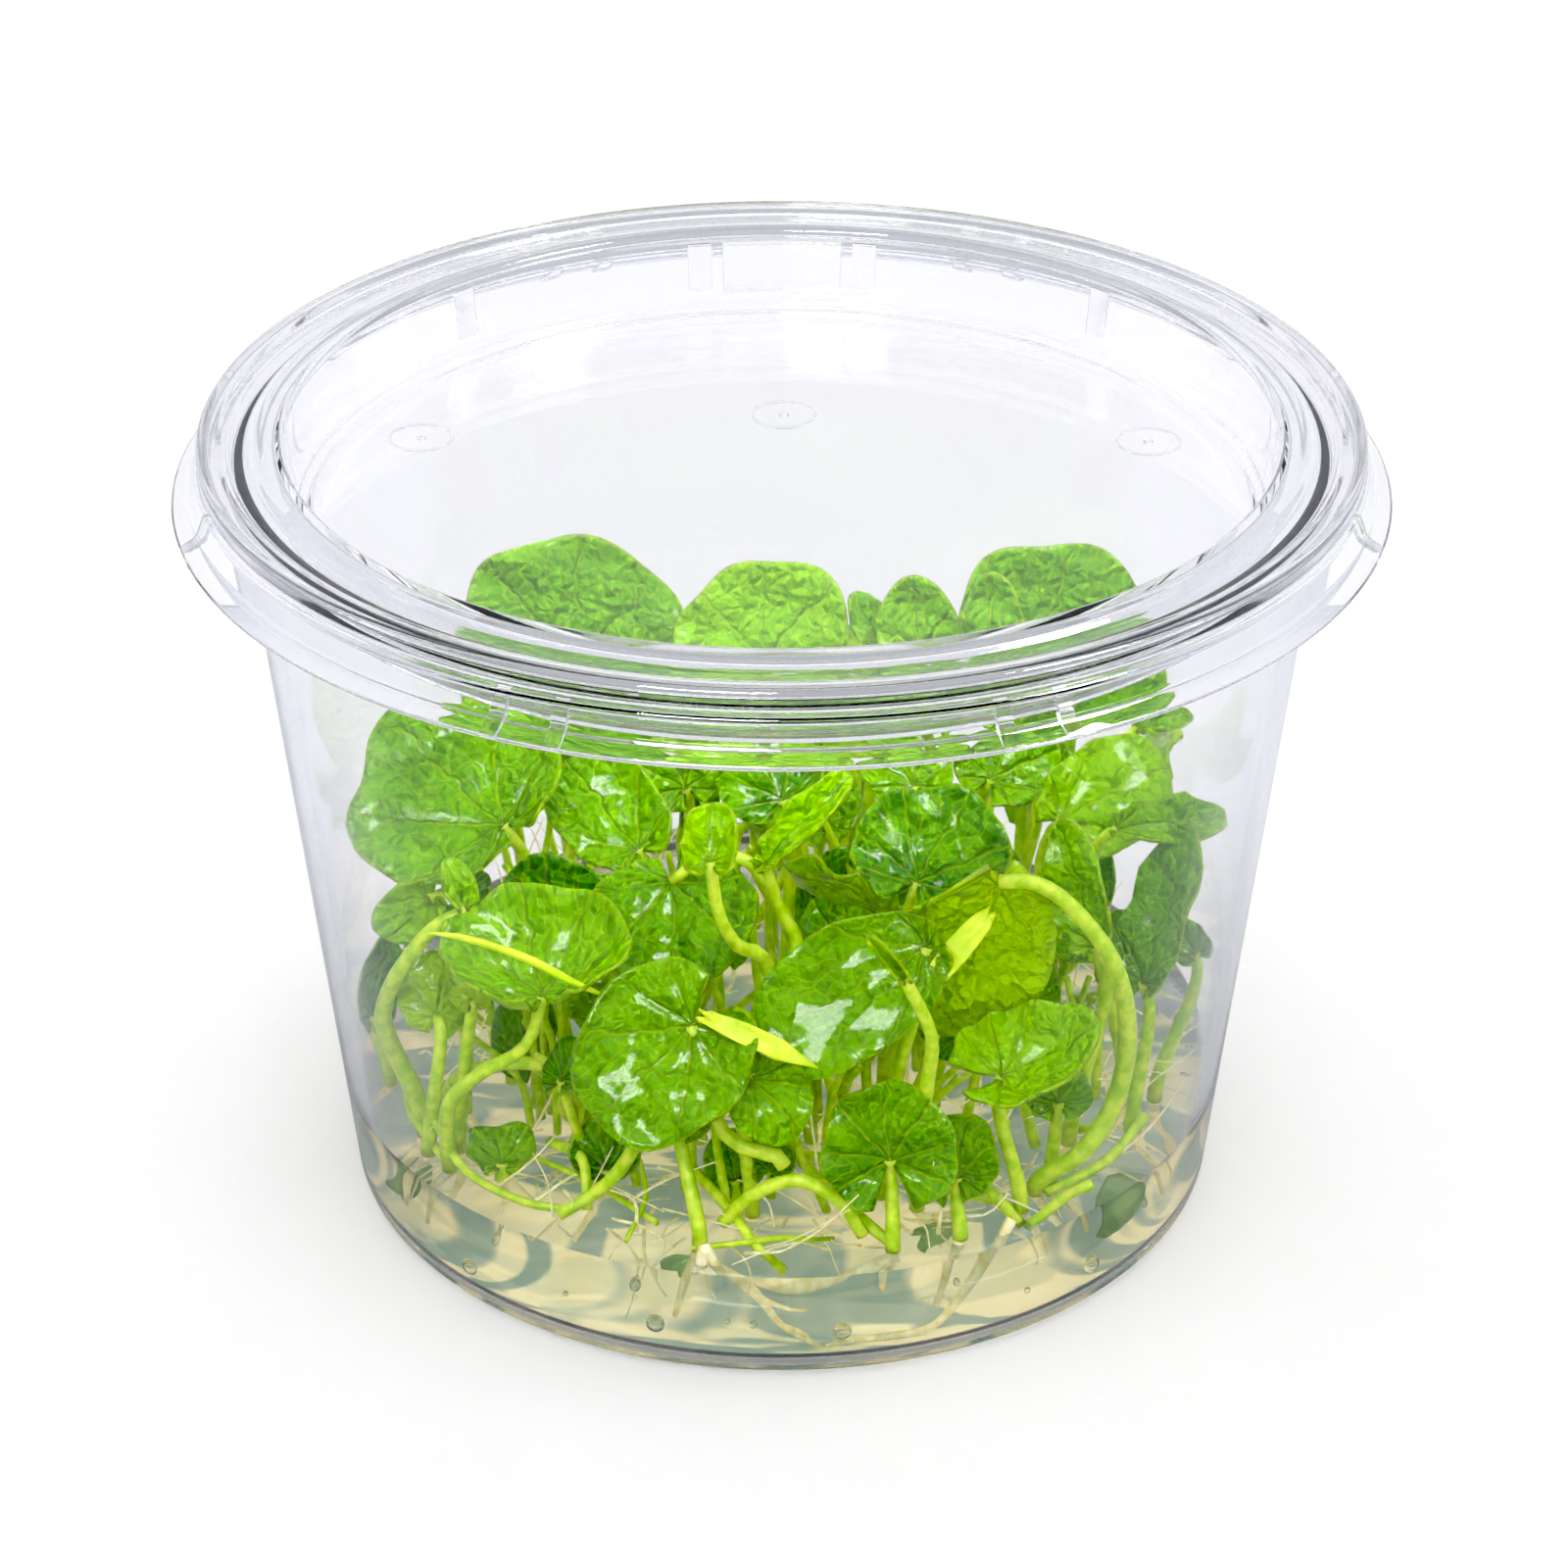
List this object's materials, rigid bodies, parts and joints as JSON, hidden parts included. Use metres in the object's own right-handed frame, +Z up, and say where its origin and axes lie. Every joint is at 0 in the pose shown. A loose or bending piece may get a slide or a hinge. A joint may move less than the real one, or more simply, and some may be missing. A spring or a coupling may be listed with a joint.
{
  "type": "floating heart plants in a culture cup",
  "caption": "Round heart-notched floating heart leaves on stalks and runners, growing on clear gel in a round clear cup with a press-on lid.",
  "frame": {"origin": "centre of the cup's underside", "axes": "+Z up along the cup's axis, -Y to the front of the pictured view"},
  "size_m": [0.104, 0.104, 0.0716],
  "materials": {
    "cup_plastic": "clear, glossy",
    "lid_plastic": "clear, glossy",
    "gel": "set jelly, see-through",
    "plant": "glossy green leaf"
  },
  "bodies": {
    "root": {"cup": "cup_plastic", "lid": "lid_plastic", "gel": "gel", "leaf_back_1": "plant", "leaf_back_2": "plant", "leaf_back_3": "plant", "leaf_back_4": "plant", "leaf_back_5": "plant", "leaf_back_6": "plant", "leaf_left_1": "plant", "leaf_left_2": "plant", "leaf_left_3": "plant", "leaf_left_4": "plant", "leaf_left_5": "plant", "leaf_left_6": "plant", "leaf_left_7": "plant", "leaf_left_8": "plant", "leaf_left_9": "plant", "leaf_left_10": "plant", "leaf_centre_1": "plant", "leaf_centre_2": "plant", "leaf_centre_3": "plant", "leaf_centre_4": "plant", "leaf_centre_5": "plant", "leaf_centre_6": "plant", "leaf_centre_7": "plant", "leaf_right_1": "plant", "leaf_right_2": "plant", "leaf_right_3": "plant", "leaf_right_4": "plant", "leaf_right_5": "plant", "leaf_right_6": "plant", "leaf_right_7": "plant", "leaf_right_8": "plant", "leaf_right_9": "plant", "leaf_front_1": "plant", "leaf_front_2": "plant", "leaf_front_3": "plant", "leaf_front_4": "plant", "leaf_front_5": "plant", "leaf_front_6": "plant", "leaf_front_7": "plant", "leaf_front_8": "plant", "leaf_middle_1": "plant", "leaf_middle_2": "plant", "leaf_middle_3": "plant", "leaf_middle_4": "plant", "leaf_rear_1": "plant", "leaf_rear_2": "plant", "leaf_rear_3": "plant", "leaf_rear_4": "plant", "leaf_rear_5": "plant", "leaf_rear_6": "plant", "leaf_rear_7": "plant", "runner_1": "plant", "runner_2": "plant", "runner_3": "plant", "runner_4": "plant"}
  },
  "joints": []
}
